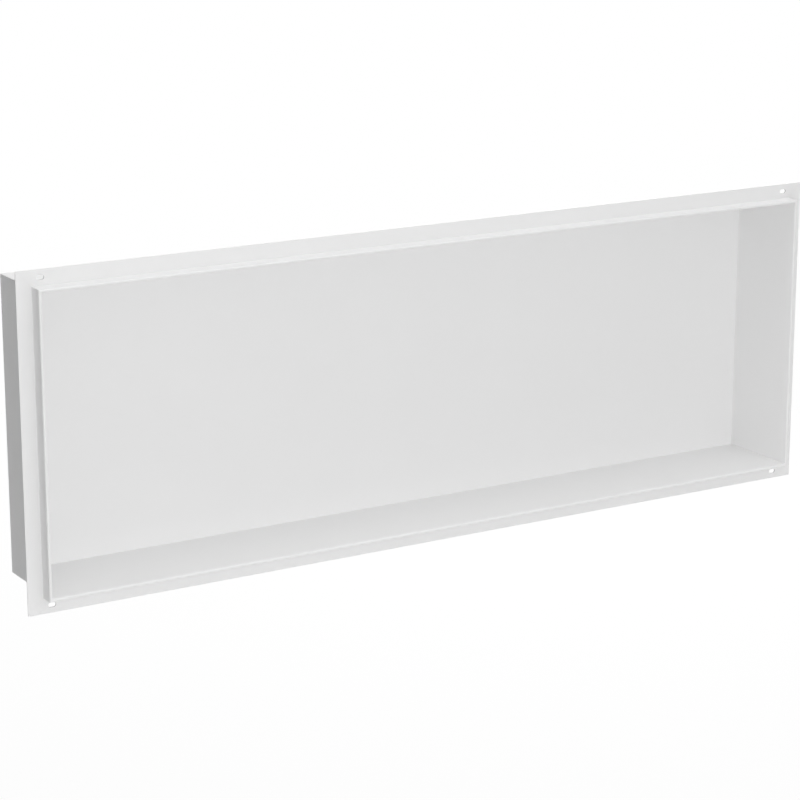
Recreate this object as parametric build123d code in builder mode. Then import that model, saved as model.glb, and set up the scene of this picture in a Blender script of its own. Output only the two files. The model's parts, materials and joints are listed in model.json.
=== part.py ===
"""Shower niche insert: one sheet of steel, folded, welded at its corners and powder coated.

Millimetres, X across the niche, Y into the wall, Z up.
The origin is the middle of the four fixing slots, on the back face of the flange, which lies on the wall.
"""
import os

from build123d import *

# Driving dimensions
sheet = 1.0  # thickness of the steel
opening_width = 900.0  # clear opening, between the walls of the box
opening_height = 300.0
recess_depth = 82.0  # from the wall's face to the back of the box
lip_reach = 16.0  # how far the lip stands in front of the flange, for tiles and their bed
hem_gap = 1.5  # space between the two layers of the folded lip
flange_border = 16.0  # flange that shows round the lip
bend_radius = 0.5  # inside radius of the back bends and of the bend at the flange's root
slot_length = 8.0
slot_width = 4.5
slot_inset = 25.0  # middle of a slot from the end of the flange

# Sizes that follow
recess_width = opening_width + 2 * sheet  # outside of the box, which the hole in the wall has to take
recess_height = opening_height + 2 * sheet
lip_side = hem_gap + sheet  # outer face of the lip from the outside of the box
flange_width = recess_width + 2 * (lip_side + flange_border)
flange_height = recess_height + 2 * (lip_side + flange_border)
slot_pitch_x = flange_width - 2 * slot_inset
slot_pitch_z = flange_height - flange_border

# Middle of the sheet, followed from the back of the box to the edge of the flange
bend_line = bend_radius + sheet / 2
hem_line = (hem_gap + sheet) / 2
wall_x = (recess_width - sheet) / 2
wall_z = (recess_height - sheet) / 2
back_y = recess_depth - sheet / 2
lip_front_y = -(sheet + lip_reach)
hem_centre_y = lip_front_y + hem_line + sheet / 2
root_y = -(sheet + bend_radius)
flange_edge_x = flange_width / 2

with BuildPart() as niche_body:
    # Section of the folded sheet on the right-hand side, halfway up
    with BuildSketch(Plane.XY):
        with BuildLine():
            back_bend = JernArc((wall_x - bend_line, back_y), (1, 0), bend_line, -90)
            wall = Line(back_bend @ 1, (wall_x, hem_centre_y))
            hem = JernArc(wall @ 1, wall % 1, hem_line, 180)
            outer_layer = Line(hem @ 1, ((hem @ 1).X, root_y))
            root_bend = JernArc(outer_layer @ 1, outer_layer % 1, bend_line, -90)
            Line(root_bend @ 1, (flange_edge_x, (root_bend @ 1).Y))
        trace(line_width=sheet)

    # The section runs round the box with mitred corners, from halfway up the right-hand side
    with BuildLine(Plane.XZ) as round_the_box:
        Polyline(
            (wall_x, 0),
            (wall_x, wall_z),
            (-wall_x, wall_z),
            (-wall_x, -wall_z),
            (wall_x, -wall_z),
            close=True,
        )
    sweep(path=round_the_box.wire(), transition=Transition.RIGHT)

    # The back panel lies between the four back bends
    with BuildSketch(Plane.XZ.offset(-recess_depth)):
        Rectangle(opening_width - 2 * bend_radius, opening_height - 2 * bend_radius)
    extrude(amount=sheet)

    # One fixing slot at each corner, on the middle line of the flange's long sides
    with BuildSketch(Plane.XZ):
        with GridLocations(slot_pitch_x, slot_pitch_z, 2, 2):
            SlotOverall(slot_length, slot_width)
    extrude(amount=sheet, mode=Mode.SUBTRACT)

niche_body.part.label = "niche_body"

os.makedirs("parts", exist_ok=True)
export_step(niche_body.part, "parts/niche_body.step")
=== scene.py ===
"""Shower niche insert: a white sheet-steel box with a hemmed lip and a slotted flange, in studio light.

Metres, in the part's own frame: X across the niche, Y into the wall, Z up.
"""
import json
import math

import bpy
import numpy as np
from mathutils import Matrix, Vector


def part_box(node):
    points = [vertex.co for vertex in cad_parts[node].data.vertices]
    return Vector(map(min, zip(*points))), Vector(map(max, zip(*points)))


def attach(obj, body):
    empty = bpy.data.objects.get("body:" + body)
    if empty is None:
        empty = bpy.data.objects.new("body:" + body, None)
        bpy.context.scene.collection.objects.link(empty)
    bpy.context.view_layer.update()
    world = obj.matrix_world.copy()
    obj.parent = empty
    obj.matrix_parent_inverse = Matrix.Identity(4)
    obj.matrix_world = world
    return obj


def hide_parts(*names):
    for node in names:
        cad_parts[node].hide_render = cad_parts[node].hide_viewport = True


bl_info = {
    "name": "Shower niche insert",
    "version": (1, 0, 0),
    "blender": (4, 5, 0),
    "location": "View3D > Sidebar > Niche",
    "description": "Builds the folded shell of a shower niche insert, its powder coat and its studio",
    "category": "Add Mesh",
}

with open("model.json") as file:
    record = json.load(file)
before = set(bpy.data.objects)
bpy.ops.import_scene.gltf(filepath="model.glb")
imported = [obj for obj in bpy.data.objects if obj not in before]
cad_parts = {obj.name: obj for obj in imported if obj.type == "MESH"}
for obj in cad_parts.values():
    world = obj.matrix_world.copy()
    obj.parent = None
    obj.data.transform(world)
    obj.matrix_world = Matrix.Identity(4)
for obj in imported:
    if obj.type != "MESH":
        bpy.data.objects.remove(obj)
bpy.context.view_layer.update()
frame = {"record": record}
BODY_LOW, BODY_HIGH = (np.array(corner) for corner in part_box("niche_body"))
SLOTS = next(m for m in frame["record"]["mounts"] if m["name"] == "flange_slots")["dims"]
MM = 0.001
WHITE = (1.0, 1.0, 1.0, 1.0)

# Where the stations along the sides of the niche stand, as shares of its half sizes
LONG_STOPS = np.linspace(0.93, -0.93, 7)
SHORT_STOPS = np.linspace(0.75, -0.75, 3)
SLOT_CORNERS = ((1, 1), (-1, 1), (-1, -1), (1, -1))  # in the order in which the stations pass them

PAINTED_SHADE = "painted_shade"  # vertex attribute of painted shade: 0 where none is painted, 1 on the slot walls, where it is darkest
LIP_SHADE_SHARE = 0.6  # how much painted shade the lip takes where it meets the flange, as a share of the flange's own
CLOUD_SIZE, CLOUD_WEIGHT = 90 * MM, 0.8  # slow change of the coat's colour
GRAIN_SIZE, GRAIN_WEIGHT = 0.7 * MM, 0.4  # fine change of the coat's colour
GRAIN_HEIGHT = 0.15  # height of the grain as a share of the orange peel's

LAMP_AIM = (0.0, 0.0, 0.0)
KEY_PLACE, KEY_SIZE = (-0.8, -2.4, 0.2), 0.7
TOP_PLACE, TOP_SIZE = (0.0, -0.15, 3.0), 2.35
BACK_PLACE, BACK_SIZE = (1.9, 2.4, 1.0), 1.6
ROOM_FADE = 0.25  # power of the cosine: small, so that the room's light fades out only at its edge
FLOOR_SIDES = 96
SHADOW_REACH = 3.0  # distance from the origin at which the floor is plain white
SHADOW_SHARE = 0.15  # how much of the floor's own shading shows right under the niche


class NicheSizes(bpy.types.PropertyGroup):
    """Sizes of the folded sheet that the outer box doesn't give."""

    sheet: bpy.props.FloatProperty(
        name="Sheet",
        description="Thickness of the coated steel",
        default=1.0 * MM,
        unit="LENGTH",
        precision=4,
    )
    hem_gap: bpy.props.FloatProperty(
        name="Hem gap",
        description="Space between the two layers of the folded lip",
        default=1.5 * MM,
        unit="LENGTH",
        precision=4,
    )
    flange_border: bpy.props.FloatProperty(
        name="Flange border",
        description="Flange that shows round the lip",
        default=16.0 * MM,
        unit="LENGTH",
        precision=4,
    )
    bend_radius: bpy.props.FloatProperty(
        name="Bend radius",
        description="Inside radius of the back bends and of the bend at the flange's root",
        default=0.5 * MM,
        unit="LENGTH",
        precision=4,
    )
    edge_radius: bpy.props.FloatProperty(
        name="Edge radius",
        description="Rounding that the coat gives the cut edge of the flange",
        default=0.12 * MM,
        unit="LENGTH",
        precision=5,
    )
    slot_edge_radius: bpy.props.FloatProperty(
        name="Slot edge radius",
        description="Rounding that the thin coat gives the rims of the slots",
        default=0.04 * MM,
        unit="LENGTH",
        precision=5,
    )
    corner_radius: bpy.props.FloatProperty(
        name="Corner radius",
        description="Rounding of the welded and ground corners",
        default=0.6 * MM,
        unit="LENGTH",
        precision=5,
    )
    bend_steps: bpy.props.IntProperty(
        name="Bend steps",
        description="Faces round a quarter turn of a bend or a corner",
        default=6,
        min=2,
        max=24,
    )


class NicheFinish(bpy.types.PropertyGroup):
    """The satin powder coat, with shade painted into its colour in the lip's inside corner and on the slot
    walls.
    """

    colour: bpy.props.FloatVectorProperty(
        name="Coat",
        description="Colour of the powder coat",
        subtype="COLOR",
        size=3,
        min=0.0,
        max=1.0,
        default=(0.885, 0.885, 0.885),
    )
    thin_colour: bpy.props.FloatVectorProperty(
        name="Thin coat",
        description="Colour where the coat lies a little thinner",
        subtype="COLOR",
        size=3,
        min=0.0,
        max=1.0,
        default=(0.87, 0.87, 0.87),
    )
    # Painted shade: a dark grey on the slot walls, which lie in shade
    slot_shade_colour: bpy.props.FloatVectorProperty(
        name="Slot walls",
        description="Colour where the coat is thinnest, on the cut walls of the slots",
        subtype="COLOR",
        size=3,
        min=0.0,
        max=1.0,
        default=(0.3, 0.3, 0.3),
    )
    # Painted shade in the inside corner of lip and flange, where the lip shades the flange
    corner_painted_shade: bpy.props.FloatProperty(
        name="Corner thinness",
        description="How thin the coat lies in the inside corner of lip and flange, from 0 to 1",
        subtype="FACTOR",
        min=0.0,
        max=1.0,
        default=0.34,
    )
    roughness: bpy.props.FloatProperty(
        name="Roughness",
        description="Middle roughness of the satin surface",
        subtype="FACTOR",
        min=0.0,
        max=1.0,
        default=0.58,
    )
    roughness_swing: bpy.props.FloatProperty(
        name="Roughness swing",
        description="How far the roughness goes up and down over the surface",
        subtype="FACTOR",
        min=0.0,
        max=0.3,
        default=0.06,
    )
    peel_size: bpy.props.FloatProperty(
        name="Peel size",
        description="Distance between the waves of the orange peel",
        default=1.6 * MM,
        unit="LENGTH",
        precision=4,
    )
    peel_height: bpy.props.FloatProperty(
        name="Peel height",
        description="Height of the orange peel",
        default=0.012 * MM,
        unit="LENGTH",
        precision=6,
    )


class NicheStage(bpy.types.PropertyGroup):
    """Floor, light and camera."""

    floor_drop: bpy.props.FloatProperty(
        name="Floor drop",
        description="Distance from the flange's lower edge to the floor",
        default=0.6,
        unit="LENGTH",
    )
    floor_radius: bpy.props.FloatProperty(
        name="Floor radius",
        description="Radius of the round floor",
        default=9.0,
        unit="LENGTH",
    )
    floor_colour: bpy.props.FloatVectorProperty(
        name="Floor",
        description="Colour of the floor",
        subtype="COLOR",
        size=3,
        min=0.0,
        max=1.0,
        default=(0.9, 0.9, 0.9),
    )
    room_light: bpy.props.FloatProperty(
        name="Room light",
        description="Strength of the even light from the side of the room that the niche faces",
        default=0.69,
        min=0.0,
        max=2.0,
    )
    key_light: bpy.props.FloatProperty(
        name="Key light",
        description="Softbox beside the camera",
        default=14.8,
        min=0.0,
        unit="POWER",
    )
    top_light: bpy.props.FloatProperty(
        name="Top light",
        description="Softbox overhead",
        default=44.3,
        min=0.0,
        unit="POWER",
    )
    back_light: bpy.props.FloatProperty(
        name="Back light",
        description="Softbox behind the niche, on the side away from the camera",
        default=63.0,
        min=0.0,
        unit="POWER",
    )
    camera_place: bpy.props.FloatVectorProperty(
        name="Camera",
        description="Where the camera stands",
        subtype="XYZ_LENGTH",
        unit="LENGTH",
        size=3,
        default=(-1.3652, -2.1711, 0.6554),
    )
    camera_turn: bpy.props.FloatProperty(
        name="Turn",
        description="How far the view is turned from straight ahead to the right",
        default=math.radians(31.189),
        subtype="ANGLE",
        unit="ROTATION",
    )
    camera_tilt: bpy.props.FloatProperty(
        name="Tilt",
        description="How far the camera looks down",
        default=math.radians(14.706),
        subtype="ANGLE",
        unit="ROTATION",
    )
    lens: bpy.props.FloatProperty(
        name="Lens",
        description="Focal length for a sensor 36 mm wide",
        default=114.74,
        min=10.0,
        unit="CAMERA",
    )


def bend(centre, radius, start, turn, steps, hollow=False):
    """A round stretch of the section, with its normals.

    Point = centre + radius * (cos, sin) of an angle that runs evenly from start through turn, in degrees.
    The normal points away from the centre, or towards it on the hollow side of a fold.
    """
    angle = np.radians(start + turn * np.linspace(0.0, 1.0, steps + 1))
    outward = np.stack([np.cos(angle), np.sin(angle)], axis=1)
    normal = -outward if hollow else outward
    return np.asarray(centre) + radius * outward, normal


def joined(bends):
    """Bends one after the other as one line, with straight runs between them."""
    points, normals = zip(*bends)
    return np.concatenate(points), np.concatenate(normals)


def sheet_section(sizes):
    """Section of the folded sheet as (distance outside the clear opening, y), with its normals.

    It starts at the inside of the back panel, runs forward along the wall, over the lip and out to the edge
    of the flange, and comes back on the sheet's other side to the outside of the back panel.
    """
    t = sizes.sheet
    steps = sizes.bend_steps
    inner = sizes.bend_radius
    edge = sizes.edge_radius
    hem_inner = sizes.hem_gap / 2
    hem_outer = hem_inner + t
    front, back = BODY_LOW[1], BODY_HIGH[1]
    back_bend = (-inner, back - t - inner)
    hem = (hem_outer, front + hem_outer)
    root = (2 * hem_outer + inner, -t - inner)
    rim = 2 * hem_outer + sizes.flange_border
    bends = [
        bend(back_bend, inner, 90, -90, steps, hollow=True),
        bend(hem, hem_outer, 180, 180, 2 * steps),
        bend(root, inner, 180, -90, steps, hollow=True),
        bend((rim - edge, edge - t), edge, -90, 90, steps // 2),
        bend((rim - edge, -edge), edge, 0, 90, steps // 2),
        bend(root, inner + t, 90, 90, steps),
        bend(hem, hem_inner, 360, -180, 2 * steps, hollow=True),
        bend(back_bend, inner + t, 0, 90, steps),
    ]
    row_ends = np.cumsum([len(points) for points, _ in bends]) - 1
    return joined(bends), row_ends


def rectangle_stations(long_stops, short_stops, steps):
    """Stations round a rectangle with round corners, counter-clockwise from the right, as (corner, normal).

    Corner is where the station's arc has its centre, as a share of the half sizes: whole numbers in the four
    corners, and in between at the stops along the sides, which go from 1 to -1.
    """
    angle = np.radians(np.linspace(0.0, 90.0, steps + 1))
    arc = np.stack([np.cos(angle), np.sin(angle)], axis=1)
    top = np.stack([long_stops, np.ones_like(long_stops)], axis=1)
    left = np.stack([-np.ones_like(short_stops), short_stops], axis=1)
    corner = np.concatenate([np.ones_like(arc), top, arc * 0 + (-1, 1), left])
    normal = np.concatenate([arc, top * 0 + (0, 1), arc @ [[0, 1], [-1, 0]], left * 0 + (-1, 0)])
    return np.concatenate([corner, -corner]), np.concatenate([normal, -normal])


def slot_stations(steps):
    """Stations round a slot with round ends, counter-clockwise from its lower right, as (corner, normal)."""
    angle = np.radians(np.linspace(-90.0, 90.0, 2 * steps + 1))
    normal = np.stack([np.cos(angle), np.sin(angle)], axis=1)
    corner = normal * 0 + (1, 0)
    return np.concatenate([corner, -corner]), np.concatenate([normal, -normal])


def carry(section, stations, half, radius, grow=0.0, middle=(0.0, 0.0)):
    """Carries a section round an outline with round corners: positions and normals, one row a section point.

    Place = middle + corner * (half + distance - r) + r * normal, with r = radius + grow * distance for the
    round corners, and y comes from the section. The normal mixes the outline's normal and y as the section's
    does, with y times the speed at which the outline moves out: (1 - grow) * corner . normal + grow.
    """
    (distance, y), (normal_out, normal_y) = (values.T[:, :, None] for values in section)
    corner, normal = stations
    arc = radius + grow * distance
    across = [
        middle[k] + corner[:, k] * (half[k] + distance - arc) + arc * normal[:, k]
        for k in (0, 1)
    ]
    facing = np.sum(corner * normal, axis=1) / np.max(np.abs(corner), axis=1)
    speed = (1.0 - grow) * facing + grow
    places = np.stack([across[0], y + 0 * across[0], across[1]], axis=2)
    normals = np.stack(
        [normal_out * normal[:, 0], normal_y * speed, normal_out * normal[:, 1]],
        axis=2,
    )
    normals /= np.linalg.norm(normals, axis=2, keepdims=True)
    return places, normals


def grid_faces(rows, columns, first=0, flip=False):
    """Quads of a grid whose columns close on themselves, as an array of rows x columns x 4 corners."""
    row = np.arange(rows - 1)[:, None] * columns + first
    column = np.arange(columns)[None, :]
    after = (column + 1) % columns
    corners = [row + column, row + columns + column, row + columns + after, row + after]
    return np.stack(corners[::-1] if flip else corners, axis=2)


def faces_round_slot(cell, loop, start, direction):
    """Two faces that leave a slot open in a four-cornered cell.

    The cell's corners go round it from the lip outwards and back to the lip. The faces meet along lines from
    the slot's ends to the two corners next to the lip. From start, half of the loop belongs to each face.
    """
    around = loop[(start + direction * np.arange(len(loop) + 1)) % len(loop)]
    half = len(loop) // 2
    outer = np.concatenate([cell, around[: half + 1]])
    inner = np.concatenate([cell[[3, 0]], around[half:]])
    return [outer.tolist(), inner.tolist()]


def slot_wall(sizes, side, level):
    """One slot's wall, from the flange's front to its back: positions and normals.

    Two round rims with a straight run between them are carried round the slot, which grows with distance.
    """
    edge = sizes.slot_edge_radius
    rim_steps = sizes.bend_steps // 2
    rims = [
        bend((edge, edge - sizes.sheet), edge, 270, -90, rim_steps),
        bend((edge, -edge), edge, 180, -90, rim_steps),
    ]
    radius = SLOTS["hole_r_mm"] * MM
    half = (SLOTS["slot_length_mm"] / 2 * MM, radius)
    middle = (side * SLOTS["spacing_x_mm"] / 2 * MM, level * SLOTS["spacing_y_mm"] / 2 * MM)
    return carry(joined(rims), slot_stations(sizes.bend_steps), half, radius, 1.0, middle)


def niche_mesh(sizes, corner_painted_shade):
    """The whole shell as one closed mesh: positions, normals, painted shade, and polygons.

    The sheet's section is carried round the opening, two faces close the back panel, and four slots go
    through the flange. Painted shade darkens the inside corner of lip and flange: over the bend at the
    flange's root it goes evenly from the lip's share of the corner's shade up to all of it, and across the
    flange evenly down to 0 at its edge. The slot walls have 1, the full painted shade.
    """
    section, row_ends = sheet_section(sizes)
    flange_front, flange_back = row_ends[2], row_ends[4]
    steps = sizes.bend_steps
    rim = section[0][:, 0].max()
    half = (BODY_HIGH[0] - rim, BODY_HIGH[2] - rim)
    stations = rectangle_stations(LONG_STOPS, SHORT_STOPS, steps)
    places, normals = carry(section, stations, half, sizes.corner_radius)
    rows, columns = places.shape[:2]
    # Painted shade in the inside corner of lip and flange: set over the bend at the flange's root, it fades
    # across the flange to 0 at its edge
    thin = np.zeros((rows, columns))
    root_rows = slice(row_ends[1] + 1, flange_front + 1)
    thin[root_rows] = corner_painted_shade * np.linspace(LIP_SHADE_SHARE, 1.0, steps + 1)[:, None]

    # The flange's four slot cells lie just past a corner, and just before the next one
    cells = np.array([steps, steps + len(LONG_STOPS)])
    cells = np.concatenate([cells, cells + columns // 2])
    quads = grid_faces(rows, columns)
    keep = np.ones((rows - 1, columns), bool)
    keep[np.ix_([flange_front, flange_back], cells)] = False
    polygons = quads[keep].tolist()
    polygons.append(np.arange(columns).tolist())
    polygons.append((np.arange(columns) + (rows - 1) * columns)[::-1].tolist())

    # Slot walls, and the flange's two faces round each of them
    rim_steps = steps // 2
    right_end = steps
    left_end = right_end + 2 * steps + 1
    root_level, rim_level = places[[flange_front, flange_front + 1], steps, 2]
    parts = [(places.reshape(-1, 3), normals.reshape(-1, 3), thin.ravel())]
    count = rows * columns
    for cell, (side, level) in zip(cells, SLOT_CORNERS):
        wall, wall_normals = slot_wall(sizes, side, level)
        wall_rows, loop_size = wall.shape[:2]
        polygons += grid_faces(wall_rows, loop_size, count, flip=True).reshape(-1, 4).tolist()
        loop = count + np.arange(loop_size)
        start_front, start_back = (left_end, right_end) if level > 0 else (right_end, left_end)
        front_cell = quads[flange_front, cell]
        back_cell = quads[flange_back, cell][[2, 3, 0, 1]]
        polygons += faces_round_slot(front_cell, loop, start_front, -1)
        polygons += faces_round_slot(back_cell, loop + (wall_rows - 1) * loop_size, start_back, 1)
        # Painted shade on the slot walls: full on the cut wall, and on the front rim as much as the flange
        # has at that height
        to_root = (rim_level - np.abs(wall[0, :, 2])) / (rim_level - root_level)
        cut = np.zeros((wall_rows, loop_size))
        cut[:rim_steps] = to_root * corner_painted_shade
        cut[rim_steps:-rim_steps] = 1.0
        parts.append((wall.reshape(-1, 3), wall_normals.reshape(-1, 3), cut.ravel()))
        count += wall_rows * loop_size
    vertices, vertex_normals, painted_shade = (np.concatenate(arrays) for arrays in zip(*parts))
    return vertices, vertex_normals, painted_shade, polygons


class Wire:
    """An output socket of a node tree. Sums, differences, products and powers of wires add Math nodes."""

    def __init__(self, socket):
        self.socket = socket

    @classmethod
    def node(cls, tree, kind, settings=None, sockets=None, output=0):
        """Adds a node, sets its settings, then its sockets' values or links, and returns one output."""
        node = tree.nodes.new(kind)
        for name, value in (settings or {}).items():
            setattr(node, name, value)
        for name, value in (sockets or {}).items():
            if isinstance(value, cls):
                tree.links.new(value.socket, node.inputs[name])
            else:
                node.inputs[name].default_value = value
        return cls(node.outputs[output]) if len(node.outputs) else None

    def maths(self, operation, first, second):
        """A Math node on two values, each a wire or a number."""
        tree = self.socket.id_data
        return Wire.node(tree, "ShaderNodeMath", {"operation": operation}, {0: first, 1: second})

    def __add__(self, other):
        return self.maths("ADD", self, other)

    def __radd__(self, other):
        return self.maths("ADD", other, self)

    def __sub__(self, other):
        return self.maths("SUBTRACT", self, other)

    def __rsub__(self, other):
        return self.maths("SUBTRACT", other, self)

    def __mul__(self, other):
        return self.maths("MULTIPLY", self, other)

    def __rmul__(self, other):
        return self.maths("MULTIPLY", other, self)

    def __pow__(self, other):
        return self.maths("POWER", self, other)

    def __rpow__(self, other):
        return self.maths("POWER", other, self)


def empty_tree(owner):
    """The owner's node tree with nothing in it."""
    owner.use_nodes = True
    owner.node_tree.nodes.clear()
    return owner.node_tree


def noise(tree, place, spacing, detail):
    """Noise of about one wave a spacing, from 0 to 1."""
    sockets = {"Vector": place, "Scale": 1.0 / spacing, "Detail": detail, "Roughness": 0.5}
    return Wire.node(tree, "ShaderNodeTexNoise", None, sockets, "Fac")


def mix_colour(tree, factor, first, second):
    """A Mix node for colours, whose sockets are told apart by place because several share a name."""
    settings = {"data_type": "RGBA", "clamp_factor": True}
    return Wire.node(tree, "ShaderNodeMix", settings, {0: factor, 6: first, 7: second}, 2)


def powder_coat(finish):
    """Satin white powder coat: fine orange peel, and slow clouds where the powder fell thicker or thinner."""
    material = bpy.data.materials.new("satin_powder_coat")
    tree = empty_tree(material)
    place = Wire.node(tree, "ShaderNodeTexCoord", output="Object")
    clouds = noise(tree, place, CLOUD_SIZE, 3.0)
    grain = noise(tree, place, GRAIN_SIZE, 2.0)
    peel = noise(tree, place, finish.peel_size, 1.0)
    thin = (clouds - 0.5) * CLOUD_WEIGHT + (grain - 0.5) * GRAIN_WEIGHT + 0.5
    coat = mix_colour(tree, thin, (*finish.colour, 1.0), (*finish.thin_colour, 1.0))
    # Painted shade: the attribute darkens the coat towards the slot walls' grey, a little in the lip's inside
    # corner and fully on the slot walls
    painted_shade_factor = Wire.node(tree, "ShaderNodeAttribute", {"attribute_name": PAINTED_SHADE}, output="Fac")
    colour = mix_colour(tree, painted_shade_factor**2, coat, (*finish.slot_shade_colour, 1.0))
    roughness = finish.roughness + (clouds - 0.5) * finish.roughness_swing
    height = peel + grain * GRAIN_HEIGHT
    bump = Wire.node(
        tree,
        "ShaderNodeBump",
        None,
        {"Strength": 1.0, "Distance": finish.peel_height, "Height": height},
    )
    surface = Wire.node(
        tree,
        "ShaderNodeBsdfPrincipled",
        None,
        {
            "Base Color": colour,
            "Roughness": roughness,
            "Normal": bump,
            "IOR": 1.5,
            "Specular IOR Level": 0.5,
        },
    )
    Wire.node(tree, "ShaderNodeOutputMaterial", None, {"Surface": surface})
    return material


def seen_directly(tree):
    """1 for what is seen straight, in a gloss or through glass, and 0 for light that falls on things."""
    rays = [
        Wire.node(tree, "ShaderNodeLightPath", output=name)
        for name in ("Is Camera Ray", "Is Glossy Ray", "Is Transmission Ray")
    ]
    return rays[0] + rays[1] + rays[2]


def studio_world(strength):
    """Even light from the half of the room in front of the niche. What is seen directly is plain white.

    Light = strength * (cosine with straight ahead, not below 0) to a small power, so it is nearly the same
    all over that half and fades out at its edge.
    """
    world = bpy.data.worlds.new("studio")
    tree = empty_tree(world)
    way = Wire.node(tree, "ShaderNodeTexCoord", output="Generated")
    inward = Wire.node(tree, "ShaderNodeSeparateXYZ", None, {0: way}, "Y")
    half = inward.maths("MAXIMUM", 0.0 - inward, 0.0) ** ROOM_FADE
    light = Wire.node(
        tree,
        "ShaderNodeBackground",
        None,
        {"Color": WHITE, "Strength": half * strength},
    )
    backdrop = Wire.node(tree, "ShaderNodeBackground", None, {"Color": WHITE, "Strength": 1.0})
    mixed = Wire.node(
        tree,
        "ShaderNodeMixShader",
        None,
        {0: seen_directly(tree), 1: light, 2: backdrop},
    )
    Wire.node(tree, "ShaderNodeOutputWorld", None, {"Surface": mixed})
    return world


def floor_finish(colour):
    """Pale floor: white where it is seen, with a share of its own shading under the niche for the shadow.

    From below it is clear, so that the underside of the niche can be looked at.
    """
    material = bpy.data.materials.new("studio_floor")
    tree = empty_tree(material)
    place = Wire.node(tree, "ShaderNodeTexCoord", output="Object")
    away = Wire.node(tree, "ShaderNodeVectorMath", {"operation": "LENGTH"}, {0: place}, "Value")
    near = away.maths("MAXIMUM", 1.0 - away * (1.0 / SHADOW_REACH), 0.0)
    matt = Wire.node(
        tree,
        "ShaderNodeBsdfPrincipled",
        None,
        {"Base Color": (*colour, 1.0), "Roughness": 0.9, "Specular IOR Level": 0.0},
    )
    white = Wire.node(tree, "ShaderNodeEmission", None, {"Color": WHITE, "Strength": 1.0})
    share = seen_directly(tree) * (1.0 - near * SHADOW_SHARE)
    pale = Wire.node(tree, "ShaderNodeMixShader", None, {0: share, 1: matt, 2: white})
    from_below = Wire.node(tree, "ShaderNodeNewGeometry", output="Backfacing")
    clear = Wire.node(tree, "ShaderNodeBsdfTransparent")
    mixed = Wire.node(tree, "ShaderNodeMixShader", None, {0: from_below, 1: pale, 2: clear})
    Wire.node(tree, "ShaderNodeOutputMaterial", None, {"Surface": mixed})
    return material


def add_object(name, data):
    """A new object at the origin, in the scene's own collection."""
    thing = bpy.data.objects.new(name, data)
    bpy.context.scene.collection.objects.link(thing)
    return thing


def softbox(name, place, size, watts):
    """A square softbox that stands at place and faces the niche."""
    lamp = bpy.data.lights.new(name, "AREA")
    lamp.shape = "SQUARE"
    lamp.size = size
    lamp.energy = watts
    thing = add_object(name, lamp)
    aim = np.subtract(LAMP_AIM, place)
    turn = math.atan2(-aim[0], aim[1])
    tilt = math.atan2(aim[2], math.hypot(aim[0], aim[1]))
    thing.location = place
    thing.rotation_euler = (math.pi / 2 + tilt, 0.0, turn)
    thing.visible_camera = False


class NICHE_OT_shell(bpy.types.Operator):
    """Build the folded steel shell and coat it"""

    bl_idname = "niche.shell"
    bl_label = "Niche shell"

    def execute(self, context):
        scene = context.scene
        darkening = scene.niche_finish.corner_painted_shade
        vertices, normals, painted_shade, polygons = niche_mesh(scene.niche_sizes, darkening)
        mesh = bpy.data.meshes.new("niche_shell")
        mesh.from_pydata(vertices, [], polygons)
        if mesh.validate():
            raise RuntimeError("the shell has faces that aren't sound")
        mesh.shade_smooth()
        mesh.normals_split_custom_set_from_vertices(normals)
        # The painted shade goes into a vertex attribute that the coat's colour reads
        mesh.attributes.new(PAINTED_SHADE, "FLOAT", "POINT").data.foreach_set("value", painted_shade)
        mesh.materials.append(powder_coat(scene.niche_finish))
        shell = add_object("niche_shell", mesh)
        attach(shell, "root")
        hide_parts("niche_body")
        return {"FINISHED"}


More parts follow.
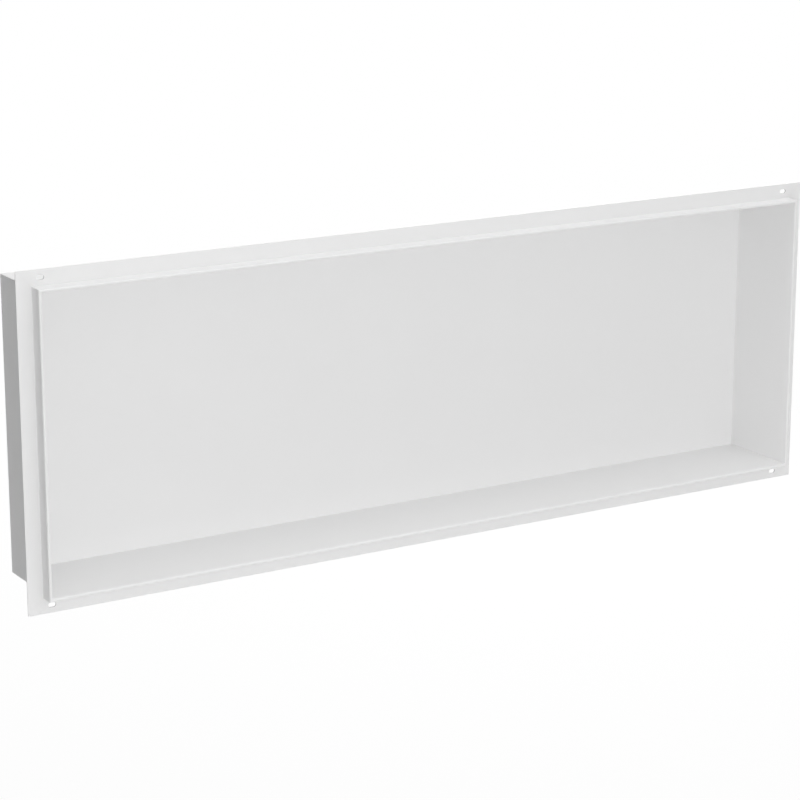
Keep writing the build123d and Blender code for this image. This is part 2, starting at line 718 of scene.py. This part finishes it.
class NICHE_OT_stage(bpy.types.Operator):
    """Set out the floor, the light and the camera"""

    bl_idname = "niche.stage"
    bl_label = "Studio"

    def execute(self, context):
        scene = context.scene
        stage = scene.niche_stage
        scene.world = studio_world(stage.room_light)

        level = BODY_LOW[2] - stage.floor_drop
        angle = np.linspace(0.0, 2 * math.pi, FLOOR_SIDES, endpoint=False)
        ring = np.stack([np.cos(angle), np.sin(angle), 0 * angle], axis=1) * stage.floor_radius
        mesh = bpy.data.meshes.new("floor")
        mesh.from_pydata(ring + (0.0, 0.0, level), [], [list(range(len(ring)))])
        mesh.materials.append(floor_finish(stage.floor_colour))
        add_object("floor", mesh)

        softbox("key_softbox", KEY_PLACE, KEY_SIZE, stage.key_light)
        softbox("top_softbox", TOP_PLACE, TOP_SIZE, stage.top_light)
        softbox("back_softbox", BACK_PLACE, BACK_SIZE, stage.back_light)

        lens = bpy.data.cameras.new("camera")
        lens.sensor_fit = "HORIZONTAL"
        lens.sensor_width = 36.0
        lens.lens = stage.lens
        camera = add_object("camera", lens)
        camera.location = stage.camera_place
        camera.rotation_euler = (math.pi / 2 - stage.camera_tilt, 0.0, -stage.camera_turn)
        scene.camera = camera
        scene.view_settings.view_transform = "Standard"
        return {"FINISHED"}


class NICHE_PT_panel(bpy.types.Panel):
    """Sizes, finish and studio of the niche"""

    bl_idname = "NICHE_PT_panel"
    bl_label = "Shower niche insert"
    bl_space_type = "VIEW_3D"
    bl_region_type = "UI"
    bl_category = "Niche"

    def draw(self, context):
        scene = context.scene
        groups = (
            (scene.niche_sizes, None),
            (scene.niche_finish, NICHE_OT_shell),
            (scene.niche_stage, NICHE_OT_stage),
        )
        for group, operator in groups:
            column = self.layout.column()
            for name in group.__annotations__:
                column.prop(group, name)
            if operator is not None:
                column.operator(operator.bl_idname)


CLASSES = (NicheSizes, NicheFinish, NicheStage, NICHE_OT_shell, NICHE_OT_stage, NICHE_PT_panel)


def register():
    for item in CLASSES:
        bpy.utils.register_class(item)
    bpy.types.Scene.niche_sizes = bpy.props.PointerProperty(type=NicheSizes)
    bpy.types.Scene.niche_finish = bpy.props.PointerProperty(type=NicheFinish)
    bpy.types.Scene.niche_stage = bpy.props.PointerProperty(type=NicheStage)


def unregister():
    del bpy.types.Scene.niche_stage
    del bpy.types.Scene.niche_finish
    del bpy.types.Scene.niche_sizes
    for item in reversed(CLASSES):
        bpy.utils.unregister_class(item)


def main():
    register()
    bpy.ops.niche.shell()
    bpy.ops.niche.stage()


if __name__ == "__main__":
    main()
